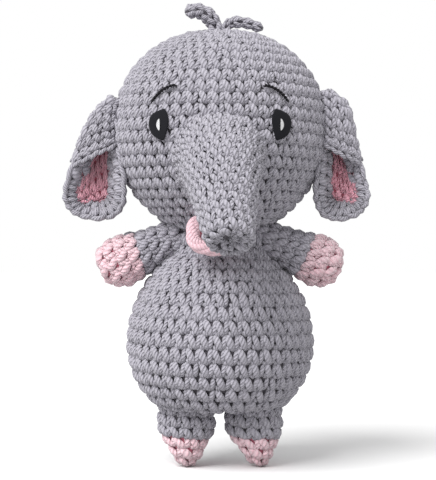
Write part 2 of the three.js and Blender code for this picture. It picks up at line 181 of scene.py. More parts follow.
class Loops:
    """The mesh of one stitch's loops. Points are across the cell, up it, and out of it in millimetres."""

    def __init__(self, width, height):
        self.width, self.height = width, height
        self.points, self.faces, self.along, self.around = [], [], [], []

    def loop(self, path, half_width, half_thick, sides=8, rings=7, blunt=0.4):
        """One loop, tapering at both ends, through points in shares of the cell and millimetres out."""
        share = (1 - np.cos(np.pi * np.linspace(0.03, 0.97, rings))) / 2
        scale = np.array([self.width, self.height, 1])
        centre = spline(np.array(path) * scale, share)
        ahead = unit(np.gradient(centre, axis=0))
        side = unit(np.cross(ahead, [0, 0, 1]))
        over = np.cross(side, ahead)
        swell = np.sin(np.pi * share) ** blunt
        tube = tube_points(centre, side, over, half_width * swell, half_thick * swell, sides, -math.pi / 2)
        self.faces.extend(tube_faces(rings, sides, len(self.points)))
        self.points.extend((tube / scale).reshape(-1, 3))
        self.along.extend(np.repeat(length_along(centre), sides))
        self.around.extend(np.tile(np.arange(sides) / sides, rings))
        return self


def single_crochet(width, height, lean=0.0, plump=1.0):
    """A V of two loops, the left one fatter and slanting, over the bar of the stitch below."""
    loops = Loops(width, height)
    yarn_width = width / 6 * plump
    deep = -1.3 * yarn_width
    loops.loop(
        [(0.10 - lean, 1.10, deep), (0.18 - lean * 0.6, 0.84, 0.2), (0.32, 0.52, 0.5),
         (0.48, 0.20, 0.2), (0.60, -0.08, deep)],
        1.72 * yarn_width, 1.35 * yarn_width, blunt=0.32,
    )
    loops.loop(
        [(0.94 - lean, 1.06, deep), (0.89 - lean * 0.6, 0.84, -0.05), (0.85, 0.52, 0.2),
         (0.79, 0.24, -0.05), (0.70, -0.04, deep)],
        1.24 * yarn_width, 1.1 * yarn_width, sides=7, blunt=0.32,
    )
    loops.loop(
        [(-0.12, 0.30, deep), (0.04, 0.20, -0.1), (0.18, 0.08, -0.05), (0.34, -0.10, deep)],
        1.2 * yarn_width, 0.95 * yarn_width, sides=6, rings=5,
    )
    return loops


def chain_link(width, height):
    """One V of a chain of stitches, pointing down its cell."""
    loops = Loops(width, height)
    half = [(0.10, -0.30, -0.8), (0.16, 0.0, 0.25), (0.34, 0.45, 0.55), (0.40, 0.85, 0.0), (0.22, 1.2, -1.0)]
    for side in (-1, 1):
        loops.loop([(0.5 + side * x, y, out) for x, y, out in half], width * 0.24, width * 0.21)
    return loops


def make_mesh(name, points, faces, attributes=()):
    """One smooth-shaded mesh, with a number at each point for each attribute."""
    mesh = bpy.data.meshes.new(name)
    mesh.from_pydata([tuple(p) for p in to_frame(points)], [], faces)
    for key, values in dict(attributes).items():
        mesh.attributes.new(key, "FLOAT", "POINT").data.foreach_set("value", np.asarray(values, np.float32))
    mesh.polygons.foreach_set("use_smooth", np.ones(len(mesh.polygons), bool))
    mesh.validate()
    mesh.update()
    obj = bpy.data.objects.new(name, mesh)
    bpy.context.scene.collection.objects.link(obj)
    return obj


class Cloth:
    """Collects the stitches of one piece, and makes them one mesh."""

    def __init__(self, name, seed):
        self.name = name
        self.chance = np.random.default_rng(seed)
        self.points, self.faces, self.along, self.around, self.tone, self.slots = [], [], [], [], [], []
        self.count = 0

    def add(self, points, faces, along, around, tone, slot=0):
        """Adds points, with how far along and around the yarn each is, and its tone from 0 to 1."""
        points = np.asarray(points, float).reshape(-1, 3)
        self.points.append(points)
        self.faces.extend(tuple(self.count + k for k in face) for face in faces)
        self.slots.extend([slot] * len(faces))
        for store, values in ((self.along, along), (self.around, around), (self.tone, tone)):
            store.append(np.broadcast_to(values, len(points)))
        self.count += len(points)

    def add_backing(self, points, faces):
        """Adds a smooth surface behind the yarn, in the second material, a dark one that paints shade into
        the gaps between the loops.
        """
        self.add(points, faces, 0, 0, 0.5, slot=1)

    def stitch(self, loops, place, cells):
        """Repeats a stitch in each cell. place(cell, x, y, out) gives points for shares x and y of it."""
        local = np.array(loops.points)
        along, around = np.array(loops.along), np.array(loops.around)
        faces = loops.faces
        for cell in cells:
            shift = self.chance.normal(0, UNEVEN, 2) * (1, 0.6)
            swell = 1 + self.chance.normal(0, UNEVEN)
            lift = self.chance.normal(0, UNEVEN_LIFT)
            turn = self.chance.normal(0, UNEVEN)
            x = local[:, 0] - 0.5
            y = local[:, 1] - 0.5
            points = place(
                cell,
                0.5 + (x - y * turn) * swell + shift[0],
                0.5 + (y + x * turn) * swell + shift[1],
                local[:, 2] * swell + lift,
            )
            self.add(points, faces, along + self.chance.uniform(0, 5), around, self.chance.uniform(0, 1))

    def finish(self, materials):
        """Makes the piece, with one material for its yarn and one for its backing, whose dark colour is
        painted shade in the gaps.
        """
        obj = make_mesh(
            self.name,
            np.vstack(self.points),
            self.faces,
            {
                "along": np.concatenate(self.along),
                "around": np.concatenate(self.around),
                "tone": np.concatenate(self.tone),
            },
        )
        for material in materials:
            obj.data.materials.append(material)
        obj.data.polygons.foreach_set("material_index", np.array(self.slots, np.int32))
        return obj


class Form:
    """A round form: radius and height along its outline, and a function that places them in space."""

    def __init__(self, outline, place):
        outline = np.asarray(outline, float)
        self.radii, self.heights = outline.T
        self.run = length_along(outline)
        self.length = self.run[-1]
        self.place = place

    def radius(self, along):
        return np.interp(along, self.run, self.radii)

    def at(self, along, turn, out):
        """Points standing out from the form, at lengths along its outline and turns round it."""
        nudge, nudge_turn = 0.05, 0.02
        along = np.clip(along, nudge, self.length - nudge)

        def spot(s, a):
            return self.place(self.radius(s), np.interp(s, self.run, self.heights), a)

        ahead = spot(along + nudge, turn) - spot(along - nudge, turn)
        ring = spot(along, turn + nudge_turn) - spot(along, turn - nudge_turn)
        return spot(along, turn) + unit(np.cross(ring, ahead)) * np.asarray(out)[..., None]

    def spiral(self, width, height, end=None):
        """The cells of one spiral of stitches: length along, turn, angle taken and rise in that angle."""
        end = self.length if end is None else end
        along, turn, cells = 0.0, math.pi / 2, []
        while along < end:
            step = min(width / max(self.radius(along), 0.1), 2 * math.pi / 5)
            rise = height * step / (2 * math.pi)
            cells.append((along, turn, step, rise))
            along += rise
            turn -= step
        return cells

    def in_cell(self, height):
        """Places stitches of a height in the cells of a spiral."""
        def place(cell, x, y, out):
            along, turn, step, rise = cell
            return self.at(along + y * height - x * rise, turn + (x - 1) * step, out)
        return place

    def lining(self, cloth, start=0.0, end=None, rings=40, slices=72):
        """A smooth backing behind the loops, which closes the gaps between them and, in its dark material,
        paints shade into them.
        """
        end = self.length if end is None else end
        steps = np.linspace(start, end, rings)
        turns = 2 * math.pi * np.arange(slices) / slices
        points = [self.at(np.full(slices, s), turns, np.full(slices, -BACKING)) for s in steps]
        cloth.add_backing(np.vstack(points), tube_faces(rings, slices))


# Materials.


def yarn(name, colour, shade, sheen=0.35, relief_strength=1.0):
    """Soft twisted yarn: ply ridges and fuzz, with painted shade between the plies, and darker or lighter at
    random from stitch to stitch.
    """
    material = bpy.data.materials.new(name)
    material.use_nodes = True
    nodes, links = material.node_tree.nodes, material.node_tree.links
    shader = nodes["Principled BSDF"]
    shader.inputs["Sheen Weight"].default_value = sheen
    shader.inputs["Sheen Roughness"].default_value = 0.5
    shader.inputs["Specular IOR Level"].default_value = 0.15

    def attribute(key):
        node = nodes.new("ShaderNodeAttribute")
        node.attribute_name = key
        return node.outputs["Fac"]

    def math_node(kind, a, b):
        node = nodes.new("ShaderNodeMath")
        node.operation = kind
        for socket, value in zip(node.inputs, (a, b)):
            if isinstance(value, (int, float)):
                socket.default_value = value
            else:
                links.new(value, socket)
        return node.outputs[0]

    def noise(scale, detail):
        node = nodes.new("ShaderNodeTexNoise")
        node.inputs["Scale"].default_value = scale
        node.inputs["Detail"].default_value = detail
        coordinates = nodes.new("ShaderNodeTexCoord")
        links.new(coordinates.outputs["Object"], node.inputs["Vector"])
        return node.outputs["Fac"]

    twist = math_node("MULTIPLY", attribute("along"), YARN_TWIST)
    turns = math_node("ADD", twist, math_node("MULTIPLY", attribute("around"), 2))
    ply = math_node("ABSOLUTE", math_node("SINE", math_node("MULTIPLY", turns, 2 * math.pi), 0.0), 0.0)
    fuzz = noise(scale=2600, detail=3)
    patches = noise(scale=90, detail=2)

    mix = nodes.new("ShaderNodeMix")
    mix.data_type = "RGBA"
    # The shade colour is the dark end both of the random tone and of the painted shade between the plies.
    mix.inputs["A"].default_value = (*shade, 1)
    mix.inputs["B"].default_value = (*colour, 1)
    tone = math_node("MULTIPLY", attribute("tone"), 0.25)
    tone = math_node("ADD", tone, math_node("MULTIPLY", patches, 0.35))
    # Painted shade: the colour darkens towards the shade colour in the grooves between the plies.
    tone = math_node("ADD", tone, math_node("MULTIPLY", ply, 0.62))
    links.new(tone, mix.inputs["Factor"])
    links.new(mix.outputs["Result"], shader.inputs["Base Color"])

    relief = math_node("ADD", math_node("MULTIPLY", ply, 1.1), math_node("MULTIPLY", fuzz, 1.1))
    bump = nodes.new("ShaderNodeBump")
    bump.inputs["Strength"].default_value = relief_strength
    bump.inputs["Distance"].default_value = 0.5 * MM
    links.new(relief, bump.inputs["Height"])
    links.new(bump.outputs["Normal"], shader.inputs["Normal"])
    rough = math_node("ADD", math_node("MULTIPLY", fuzz, 0.2), 0.8)
    links.new(rough, shader.inputs["Roughness"])
    return material


grey = yarn("grey_yarn", (0.53, 0.51, 0.575), (0.36, 0.345, 0.40))
# A dark copy of the grey for the backing behind the loops: painted shade in the gaps between stitches.
grey_painted_gap_shade = yarn("grey_painted_gap_shade", (0.16, 0.145, 0.17), (0.11, 0.10, 0.12))
pink = yarn("pink_yarn", (1.0, 0.73, 0.79), (1.0, 0.59, 0.665), sheen=0.7)
# A dark copy of the pink for the backing behind the loops: painted shade in the gaps between stitches.
pink_painted_gap_shade = yarn("pink_painted_gap_shade", (0.80, 0.30, 0.38), (0.66, 0.20, 0.28))
rose = yarn("rose_yarn", (1.0, 0.52, 0.62), (0.96, 0.38, 0.48))
# A dark copy of the rose for the backing behind the loops: painted shade in the gaps between stitches.
rose_painted_gap_shade = yarn("rose_painted_gap_shade", (0.46, 0.12, 0.17), (0.36, 0.08, 0.12))
lip_yarn = yarn("lip_yarn", (0.93, 0.66, 0.72), (0.90, 0.53, 0.60), relief_strength=0.8)
felt = yarn("black_felt", (0.018, 0.018, 0.023), (0.010, 0.010, 0.013), sheen=0.08, relief_strength=0.3)
thread = yarn("black_thread", (0.020, 0.018, 0.022), (0.010, 0.009, 0.012), sheen=0.05, relief_strength=0.3)
white_felt = yarn("white_felt", (0.85, 0.85, 0.85), (0.75, 0.75, 0.76))


# Head and body.


def bulb_outline(form, low, high):
    """Radius and height of an egg-like form from one height to another, PROUD under its surface."""
    points = []
    for angle in np.linspace(-math.pi / 2, math.pi / 2, 241):
        rises = angle > 0
        power = 2 / (form["up_power"] if rises else form["down_power"])
        reach = (form["up"] if rises else form["down"]) - PROUD
        z = form["centre"] + math.copysign(reach * abs(math.sin(angle)) ** power, angle)
        if low <= z <= high:
            points.append(((form["radius"] - PROUD) * abs(math.cos(angle)) ** power, z))
    return points


def upright(depth):
    """Places a form about the toy's upright axis, flattened from front to back."""
    return lambda r, h, turn: np.stack(
        np.broadcast_arrays(r * np.cos(turn), depth * r * np.sin(turn), h), axis=-1
    )


def face_y(x, z, out=0.0):
    """How far forward the head's surface lies at a point of the face."""
    rise = z - HEAD["centre"]
    power = HEAD["up_power"] if rise > 0 else HEAD["down_power"]
    reach = HEAD["up"] if rise > 0 else HEAD["down"]
    radius = HEAD["radius"] * (1 - (abs(rise) / reach) ** power) ** (1 / power)
    return -HEAD["depth"] * math.sqrt(radius**2 - x**2) - out


def make_head():
    form = Form(bulb_outline(HEAD, HEAD_FOOT_Z, math.inf), upright(HEAD["depth"]))
    cloth = Cloth("head_crochet", seed=11)
    width, height = HEAD_STITCH
    cloth.stitch(single_crochet(width, height, lean=0.06), form.in_cell(height), form.spiral(width, height))
    form.lining(cloth)
    head = cloth.finish([grey, grey_painted_gap_shade])
    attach(head, "head")
    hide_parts("head_cover", "head_filling")


def make_body():
    crotch = [(0.1, CROTCH_Z + 1.5), (9, CROTCH_Z + 1.2), (16, CROTCH_Z + 0.6)]
    form = Form(crotch + bulb_outline(BODY, CROTCH_Z, BODY_TOP_Z), upright(BODY["depth"]))
    cloth = Cloth("body_crochet", seed=23)
    width, height = BODY_STITCH
    cloth.stitch(single_crochet(width, height), form.in_cell(height), form.spiral(width, height))
    form.lining(cloth)
    body = cloth.finish([grey, grey_painted_gap_shade])
    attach(body, "torso")
    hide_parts("body_cover", "body_filling")


def make_neck():
    """The rounds between the body and the head, which the head is sewn to."""
    outline = [(24.5, 97.5), (23.4, 100), (22.2, 103), (21.4, 106), (21.0, 109), (20.6, 112.5), (19.5, 115)]
    form = Form(outline, upright(BODY["depth"]))
    cloth = Cloth("neck_crochet", seed=29)
    width, height = NECK_STITCH
    cells = form.spiral(width, height, end=form.length - height)
    cloth.stitch(single_crochet(width, height), form.in_cell(height), cells)
    form.lining(cloth, rings=8)
    neck = cloth.finish([grey, grey_painted_gap_shade])
    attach(neck, "neck")
    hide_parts("neck_filling", "neck_seam")


# Trunk, arms and legs.


def along_line(origin, axis, across, stretch=lambda h: 1.0):
    """Places a form about a straight axis. Its turn starts at across, and stretch deepens it elsewhere."""
    axis, across = np.asarray(axis, float), np.asarray(across, float)
    second = np.cross(axis, across)

    def place(r, h, turn):
        r, h, turn = np.broadcast_arrays(r, h, turn)
        return (
            origin + h[..., None] * axis
            + (r * np.cos(turn))[..., None] * across
            + (r * np.sin(turn) * stretch(h))[..., None] * second
        )
    return place


def bezier(points, t):
    """Points of a bent line at shares t from 0 to 1, and the ways it heads there."""
    a, b, c = (np.array(p, float) for p in points)
    t = np.asarray(t)[..., None]
    return a * (1 - t) ** 2 + 2 * b * t * (1 - t) + c * t**2, 2 * (b - a) * (1 - t) + 2 * (c - b) * t


def make_trunk():
    """Worked from the sunken disc at its tip up to the face, which it is sewn to."""
    shares = np.linspace(0, 1, 200)
    run = length_along(bezier(TRUNK_PATH, shares)[0])
    length = run[-1]

    def place(r, h, turn):
        r, h, turn = np.broadcast_arrays(r, h, turn)
        centre, ahead = bezier(TRUNK_PATH, np.interp(length - h, run, shares))
        up = unit(-ahead)
        side = np.array([1.0, 0, 0])
        front = unit(np.cross(up, side))
        return centre + (r * np.cos(turn))[..., None] * side + (r * np.sin(turn))[..., None] * front

    rim, root = TRUNK_TIP_R - PROUD - 0.6, TRUNK_ROOT_R - PROUD
    outline = [(0.1, 3.6), (rim - 4.2, 3.2), (rim - 3.0, 1.4), (rim - 1.1, 0.7), (rim, 2.4)]
    for height in np.arange(4, length + 1, 2):
        share = max(1 - height / length, 0)
        outline.append((root + (rim - root) * share**0.66, height))
    form = Form(outline, place)
    cloth = Cloth("trunk_crochet", seed=31)
    width, height = TRUNK_STITCH
    cells = form.spiral(width, height, end=form.length - height)
    cloth.stitch(single_crochet(width, height, lean=0.05), form.in_cell(height), cells)
    form.lining(cloth)
    trunk = cloth.finish([grey, grey_painted_gap_shade])
    bend = to_frame(joint_point("trunk_bend"))
    _, heading = bezier(TRUNK_PATH, 0.5)
    reach = unit(heading) * 12 * MM
    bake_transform(trunk)
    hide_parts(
        "trunk_root_cover", "trunk_root_filling", "trunk_end_cover", "trunk_end_filling",
        "trunk_tip_disc", "trunk_seam",
    )


# Radius and distance out from the shoulder, from near the fingertips to inside the body.
ARM_OUTLINE = [
    (4.2, 32.2), (8.6, 30.0), (11.4, 26.2), (12.4, 21.2), (11.9, 16), (10.2, 8.5),
    (9.5, 4), (9.3, 0), (9.2, -6), (8.6, -12),
]


def sewn_limb(name, form, cells, loops, place, height, pink_end, blend_ends, bodies, pieces, nodes):
    """An arm or leg worked in pink and then grey: its pink end is a piece of its own, past the joint."""
    heights = [np.interp(cell[0] + height / 2, form.run, form.heights) for cell in cells]
    change = np.interp(pink_end, form.heights, form.run)
    seed = sum(ord(letter) for letter in name)
    tip, root = Cloth(f"{pieces[0]}_crochet", seed=seed), Cloth(f"{pieces[1]}_crochet", seed=seed + 1)
    tip.stitch(loops, place, [c for c, h in zip(cells, heights) if h < pink_end])
    root.stitch(loops, place, [c for c, h in zip(cells, heights) if h >= pink_end])
    form.lining(tip, end=change, rings=16, slices=36)
    form.lining(root, start=change, rings=16, slices=36)
    pink_piece, grey_piece = tip.finish([pink, pink_painted_gap_shade]), root.finish([grey, grey_painted_gap_shade])
    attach(pink_piece, bodies[1])
    start, end = (tuple(to_frame(point)) for point in blend_ends)
    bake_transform(grey_piece)
    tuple(start)
    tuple(end)
    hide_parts(nodes[0])
    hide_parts(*nodes[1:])


def make_arm(name, sign):
    """Worked from the tip of the hand up to the shoulder, in pink and then grey."""
    shoulder = joint_point(f"{name}_arm_swing") + (0, 0, ARM_LIFT)
    outward = np.array([sign * math.cos(SHOULDER_SLOPE), 0, -math.sin(SHOULDER_SLOPE)])
    smooth = spline([(0.1, HAND_TIP)] + ARM_OUTLINE, np.linspace(0, 1, 60))
    outline = [(max(r - PROUD, 0.1), -min(h, HAND_TIP - 1.8 * PROUD)) for r, h in smooth]
    upward = (sign * math.sin(SHOULDER_SLOPE), 0, math.cos(SHOULDER_SLOPE))
    form = Form(outline, along_line(shoulder, -outward, upward))
    width, height = ARM_STITCH
    cells = form.spiral(width, height, end=form.length - height * 0.7)
    sewn_limb(
        name, form, cells, single_crochet(width, height, lean=0.26, plump=1.02), form.in_cell(height),
        height, -WRIST, (shoulder - outward * 6, shoulder + outward * 6), ("torso", f"{name}_arm"),
        (f"{name}_hand", f"{name}_arm"),
        (f"{name}_hand_cover", f"{name}_arm_cover", f"{name}_arm_filling", f"{name}_arm_seam"),
    )


# Radius and distance down from the hip, from near the sole to inside the body.
LEG_OUTLINE = [
    (2.8, 21.6), (4.2, 20.2), (7.0, 16.6), (9.2, 12.8), (11.6, 8.6), (13.3, 4.7), (13.8, 0), (13.2, -7),
    (11.0, -14),
]


def make_leg(name, sign):
    """Worked from the sole up to the hip, in pink and then grey. The toy's weight flattens its sole."""
    hip = joint_point(f"{name}_hip_bend")
    smooth = spline([(0.1, LEG_LENGTH), (1.8, LEG_LENGTH)] + LEG_OUTLINE, np.linspace(0, 1, 60))
    outline = [(max(r - PROUD, 0.1), -min(h, LEG_LENGTH - PROUD * 0.9)) for r, h in smooth]
    straight = along_line(hip, (0, 0, 1), (1, 0, 0), lambda h: 1 + 0.4 * smoothstep(-h, 6, 18))
    lean = 1.6 + sign * 1.2

    def leaning(r, h, turn):
        points = straight(r, h, turn)
        points[..., 0] += lean * smoothstep(-np.broadcast_to(h, points.shape[:-1]), 0, LEG_LENGTH)
        return points

    form = Form(outline, leaning)
    width, height = LEG_STITCH
    cells = form.spiral(width, height, end=form.length - height)
    in_cell = form.in_cell(height)

    def above_floor(*cell):
        points = in_cell(*cell)
        points[..., 2] = np.maximum(points[..., 2], FLOOR_GAP)
        return points

    sewn_limb(
        name, form, cells, single_crochet(width, height, lean=0.08), above_floor,
        height, FOOT_TOP_Z - hip[2], (hip + (0, 0, 9), hip + (0, 0, -5)), ("torso", f"{name}_leg"),
        (f"{name}_foot", f"{name}_leg"),
        (f"{name}_foot_cover", f"{name}_leg_cover", f"{name}_leg_filling"),
    )


# Ears. Grey rounds run about a short core line out to a chain along the edge. A pink patch fills the
# front's hollow, and a fold of grey lies over its top.

EAR_EDGE = [
    (50.5, -9, 175.7), (59.6, -9, 167.4), (65.8, -8, 154.8), (69.8, -8, 144), (73, -8, 133.5),
    (73.2, -9, 127.2), (70.6, -9, 122.4), (65.6, -9, 119.4), (57, -10, 118), (50, -11, 119.8),
    (46, -12, 124.6), (45, -12.5, 131.2), (45.6, -12.5, 140), (47, -12, 150), (48.6, -11, 160),
    (49.2, -10, 170),
]
EAR_CORE = ((55.8, 3, 156), (58.6, 3, 131))
EAR_THICK = 2.6

# The reach from the core line at which the grey rounds of the front begin, round the pink middle.
EAR_MIDDLE = 0.45

# How many points a flat backing has along each side.
SLAB = 13


def as_worn(points, sign):
    """The left ear hangs closer to the head than the right one, and starts higher on it."""
    points = np.array(points, float)
    if sign > 0:
        root_x, width = 46, 28
        reach = (points[:, 0] - root_x) / width
        points[:, 0] += reach * (2.2 - 6.0 * smoothstep(-points[:, 2], -170, -150))
        points[:, 2] += 3.4 * smoothstep(points[:, 2], 150, 172)
    return points


def blend_ear(piece, name, sign):
    """Bakes a piece's transform into its mesh. The two ends of the seam between the head and the ear are
    worked out but not used.
    """
    root = joint_point(f"{name}_ear_flap")
    start, end = root + (-3 * sign, 0, 0), root + (6 * sign, 0, 0)
    tuple(to_frame(start))
    tuple(to_frame(end))
    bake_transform(piece)


class Ear:
    """The ear's middle surface: share runs round its edge, and reach from its core line to that edge."""

    def __init__(self, sign):
        self.sign = sign
        self.edge = as_worn(EAR_EDGE + EAR_EDGE[:1], sign)

    def edge_at(self, share):
        """Points of the edge, with x positive for both ears."""
        return spline(self.edge, np.mod(share, 1))

    def spot(self, share, reach):
        edge = self.edge_at(share)
        top, bottom = (np.array(p, float) for p in EAR_CORE)
        low = np.clip((top[2] - edge[..., 2]) / (top[2] - bottom[2]), 0, 1)[..., None]
        core = top + (bottom - top) * low
        reach = np.asarray(reach)[..., None]
        flat = core + (edge - core) * reach
        dish = np.clip(1 - reach, 0, 1)[..., 0]
        flat[..., 1] = edge[..., 1] + (core[..., 1] - edge[..., 1]) * smoothstep(dish, 0.0, 0.85)
        return flat * (self.sign, 1, 1)

    def at(self, share, reach, out, face):
        """Points standing out in front (face 1) or behind (face -1)."""
        share, reach = np.broadcast_arrays(share, reach)
        around = self.spot(share + 0.002, reach) - self.spot(share - 0.002, reach)
        outward = self.spot(share, reach + 0.01) - self.spot(share, reach - 0.01)
        normal = unit(np.cross(around, outward))
        normal = normal * np.sign(-normal[..., 1:2] + 1e-9) * face
        return self.spot(share, reach) + normal * np.asarray(out)[..., None]

    def round_cells(self, low, high, width):
        """The cells of one round between two reaches: share, step to the next, reach and its height."""
        samples = 120
        spots = self.spot(np.linspace(0, 1, samples), np.full(samples, (low + high) / 2))
        count = max(3, round(length_along(spots)[-1] / width))
        return [(i / count, 1 / count, low, high - low) for i in range(count)]

    def in_cell(self, face):
        """Places stitches in the cells of a round, on the front or the back."""
        def place(cell, x, y, out):
            share, step, low, tall = cell
            if face * self.sign > 0:
                x = 1 - x
            return self.at(share + x * step, low + y * tall, out + EAR_THICK / 2, face)
        return place


def lay_backing(cloth, ear, face, reaches):
    """A smooth backing behind the stitches of one face of an ear, in the dark material that paints shade
    into the gaps.
    """
    spokes = 64
    shares = np.arange(spokes) / spokes
    out = np.full(spokes, EAR_THICK / 2 - 0.5)
    rows = [ear.at(shares, np.full(spokes, reach), out, face) for reach in reaches]
    faces = []
    for i in range(len(reaches) - 1):
        for k in range(spokes):
            a, b = i * spokes + k, i * spokes + (k + 1) % spokes
            quad = (a, b, b + spokes, a + spokes)
            faces.append(quad if face * ear.sign < 0 else quad[::-1])
    cloth.add_backing(np.vstack(rows), faces)


def make_ear(name, sign):
    ear = Ear(sign)
    cloth = Cloth(f"{name}_ear_crochet", seed=67 + sign)
    for low, high in ((EAR_MIDDLE, 0.71), (0.71, 0.98)):
        cells = ear.round_cells(low, high, EAR_STITCH[0])
        cloth.stitch(single_crochet(*EAR_STITCH, lean=0.16, plump=1.12), ear.in_cell(1), cells)
    for low, high in ((0.02, 0.25), (0.25, 0.49), (0.49, 0.73), (0.73, 0.97)):
        cells = ear.round_cells(low, high, EAR_BACK_STITCH[0])
        cloth.stitch(single_crochet(*EAR_BACK_STITCH), ear.in_cell(-1), cells)
    rim_width, rim_link = 6.0, 6.6

    def along_edge(cell, x, y, out):
        share, step = cell[:2]
        spot = ear.edge_at(share + y * step) * (sign, 1, 1)
        ahead = unit(ear.edge_at(share + y * step + 0.003) * (sign, 1, 1) - spot)
        outward = unit(np.cross(ahead, [0, 1, 0])) * sign
        across = np.cross(outward, ahead)
        return spot + outward * (out - 0.4)[..., None] + across * ((x - 0.5) * rim_width)[..., None]

    cells = ear.round_cells(0.985, 0.985, rim_link)
    cloth.stitch(chain_link(rim_width, rim_link), along_edge, cells)
    lay_backing(cloth, ear, 1, np.linspace(EAR_MIDDLE - 0.02, 0.98, 9))
    lay_backing(cloth, ear, -1, np.linspace(0.0, 0.98, 14))
    piece = cloth.finish([grey, grey_painted_gap_shade])
    blend_ear(piece, name, sign)
    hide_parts(f"{name}_ear_cover", f"{name}_ear_rim", f"{name}_ear_seam")
    make_ear_middle(name, ear)
    make_ear_flap(name, sign)


def make_ear_middle(name, ear):
    """The pink inside of the ear: rows of upright stitches in its hollow, in a narrowing patch."""
    def spot(across, down):
        bulge = np.sin(np.pi * np.clip(down, 0, 1))
        outer = ear.spot((2.4 + 5.4 * down) / len(EAR_EDGE), EAR_MIDDLE + 0.02 + 0.12 * bulge)
        inner = ear.spot((14.6 - 5.4 * down) / len(EAR_EDGE), EAR_MIDDLE - 0.02 + 0.05 * down)
        point = inner + (outer - inner) * across[..., None]
        point[..., 1] += 2.4 * np.sin(np.pi * np.clip(across, 0, 1))
        point[..., 1] -= 2.2 * bulge * smoothstep(across, 0.4, 1)
        return point

    def at(across, down, out):
        across, down = np.broadcast_arrays(across, down)
        return spot(across, down) - np.asarray(out)[..., None] * (0, 1, 0) - (0, EAR_THICK / 2, 0)

    cloth = Cloth(f"{name}_ear_middle_crochet", seed=71 + ear.sign)
    width, height = EAR_MIDDLE_STITCH
    tall = np.linalg.norm(np.diff(spot(np.full(2, 0.5), np.array([0.0, 1.0])), axis=0))
    rows = round(tall / height)
    for row in range(rows):
        top = row / rows
        ends = spot(np.array([0.0, 1.0]), np.full(2, top + 0.5 / rows))
        count = max(2, round(np.linalg.norm(ends[1] - ends[0]) / (width - 0.2)))

        def place(cell, x, y, out, top=top, count=count):
            x = x if ear.sign > 0 else 1 - x
            return at((cell + x) / count, top + (1 - y) / rows, out)

        cloth.stitch(single_crochet(width, height, lean=0.03, plump=1.1), place, range(-1, count + 1))
    # The backing behind the pink stitches is in the dark rose: painted shade in the gaps between them.
    grid = grid_points(at, np.linspace(-0.15, 1.15, SLAB), np.linspace(-0.02, 1.02, SLAB), -0.5)
    behind = grid + (0, 0.8, 0)
    cloth.add_backing(np.vstack([grid, behind]), slab_faces(SLAB, ear.sign > 0))
    piece = cloth.finish([rose, rose_painted_gap_shade])
    blend_ear(piece, name, ear.sign)
    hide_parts(f"{name}_ear_middle")


def grid_points(at, across, down, out):
    """A grid of points over a surface, out millimetres from it."""
    size = len(across)
    return np.vstack([at(across, np.full(size, share), np.full(size, out)) for share in down])


def slab_faces(size, flip):
    """The faces of a thin slab: two square grids of points, one behind the other, joined at their edge."""
    grid = []
    for i in range(size - 1):
        for k in range(size - 1):
            grid.append((i * size + k, i * size + k + 1, (i + 1) * size + k + 1, (i + 1) * size + k))
    shift = size * size
    faces = grid + [tuple(shift + k for k in reversed(quad)) for quad in grid]
    border = list(range(size)) + [i * size + size - 1 for i in range(1, size)]
    border += [(size - 1) * size + k for k in range(size - 2, -1, -1)]
    border += [i * size for i in range(size - 2, 0, -1)]
    for a, b in zip(border, border[1:] + border[:1]):
        faces.append((b, a, a + shift, b + shift))
    return [tuple(reversed(face)) for face in faces] if flip else faces


FLAP_INNER = [(47.6, -11, 175.2), (49.2, -13, 167), (49.8, -14, 160), (49.6, -14.5, 153.5)]
FLAP_OUTER = [(52.4, -10, 176.6), (60.6, -10, 168), (66.6, -9.4, 155.8), (70.4, -8.6, 144.5)]


def make_ear_flap(name, sign):
    """The ear's top, folded over its front, with a chain along its lower hem."""
    flap_inner, flap_outer = as_worn(FLAP_INNER, sign), as_worn(FLAP_OUTER, sign)

    def spot(across, down):
        inner, outer = spline(flap_inner, down), spline(flap_outer, down)
        point = inner + (outer - inner) * across[..., None]
        point[..., 1] -= 3.2 * np.sin(np.pi * np.clip(across, 0, 1)) ** 0.7 * smoothstep(down, -0.3, 0.7)
        return point * (sign, 1, 1)

    def at(across, down, out):
        across, down = np.broadcast_arrays(across, down)
        right = spot(across + 0.02, down) - spot(across - 0.02, down)
        under = spot(across, down + 0.02) - spot(across, down - 0.02)
        normal = unit(np.cross(right, under))
        normal = normal * np.sign(-normal[..., 1:2] + 1e-9)
        return spot(across, down) + normal * np.asarray(out)[..., None]

    cloth = Cloth(f"{name}_ear_fold_crochet", seed=83 + sign)
    width, height = FOLD_STITCH
    rows = 6
    for row in range(rows):
        top, tall = row / rows, 1 / rows
        ends = spot(np.array([0.0, 1.0]), np.full(2, top + tall / 2))
        count = max(1, round(np.linalg.norm(ends[1] - ends[0]) / width))

        def place(cell, x, y, out, top=top, tall=tall, count=count):
            x = x if sign > 0 else 1 - x
            return at((cell + x) / count, top + (1 - y) * tall, out)

        cloth.stitch(single_crochet(width, height, lean=0.08), place, range(count))
    steps = np.linspace(0, 1, SLAB)
    front, rear = grid_points(at, steps, steps, -0.6), grid_points(at, steps, steps, -EAR_THICK)
    cloth.add_backing(np.vstack([front, rear]), slab_faces(SLAB, sign > 0))
    hem_links, hem_width, hem_link = 5, 4.4, 5.0

    def hem(cell, x, y, out):
        share = (cell + y) / hem_links
        spots = spot(share, np.full(len(share), 1.0))
        ahead = unit(spot(share + 0.02, np.full(len(share), 1.0)) - spots)
        outward = unit(np.cross(ahead, [0, 0, 1.0])) * sign
        outward = outward * np.sign(-outward[..., 1:2])
        across = np.cross(outward, ahead)
        return spots + outward * out[..., None] + across * ((x - 0.5) * hem_width)[..., None]

    cloth.stitch(chain_link(hem_width, hem_link), hem, range(hem_links))
    piece = cloth.finish([grey, grey_painted_gap_shade])
    blend_ear(piece, name, sign)


# Face.

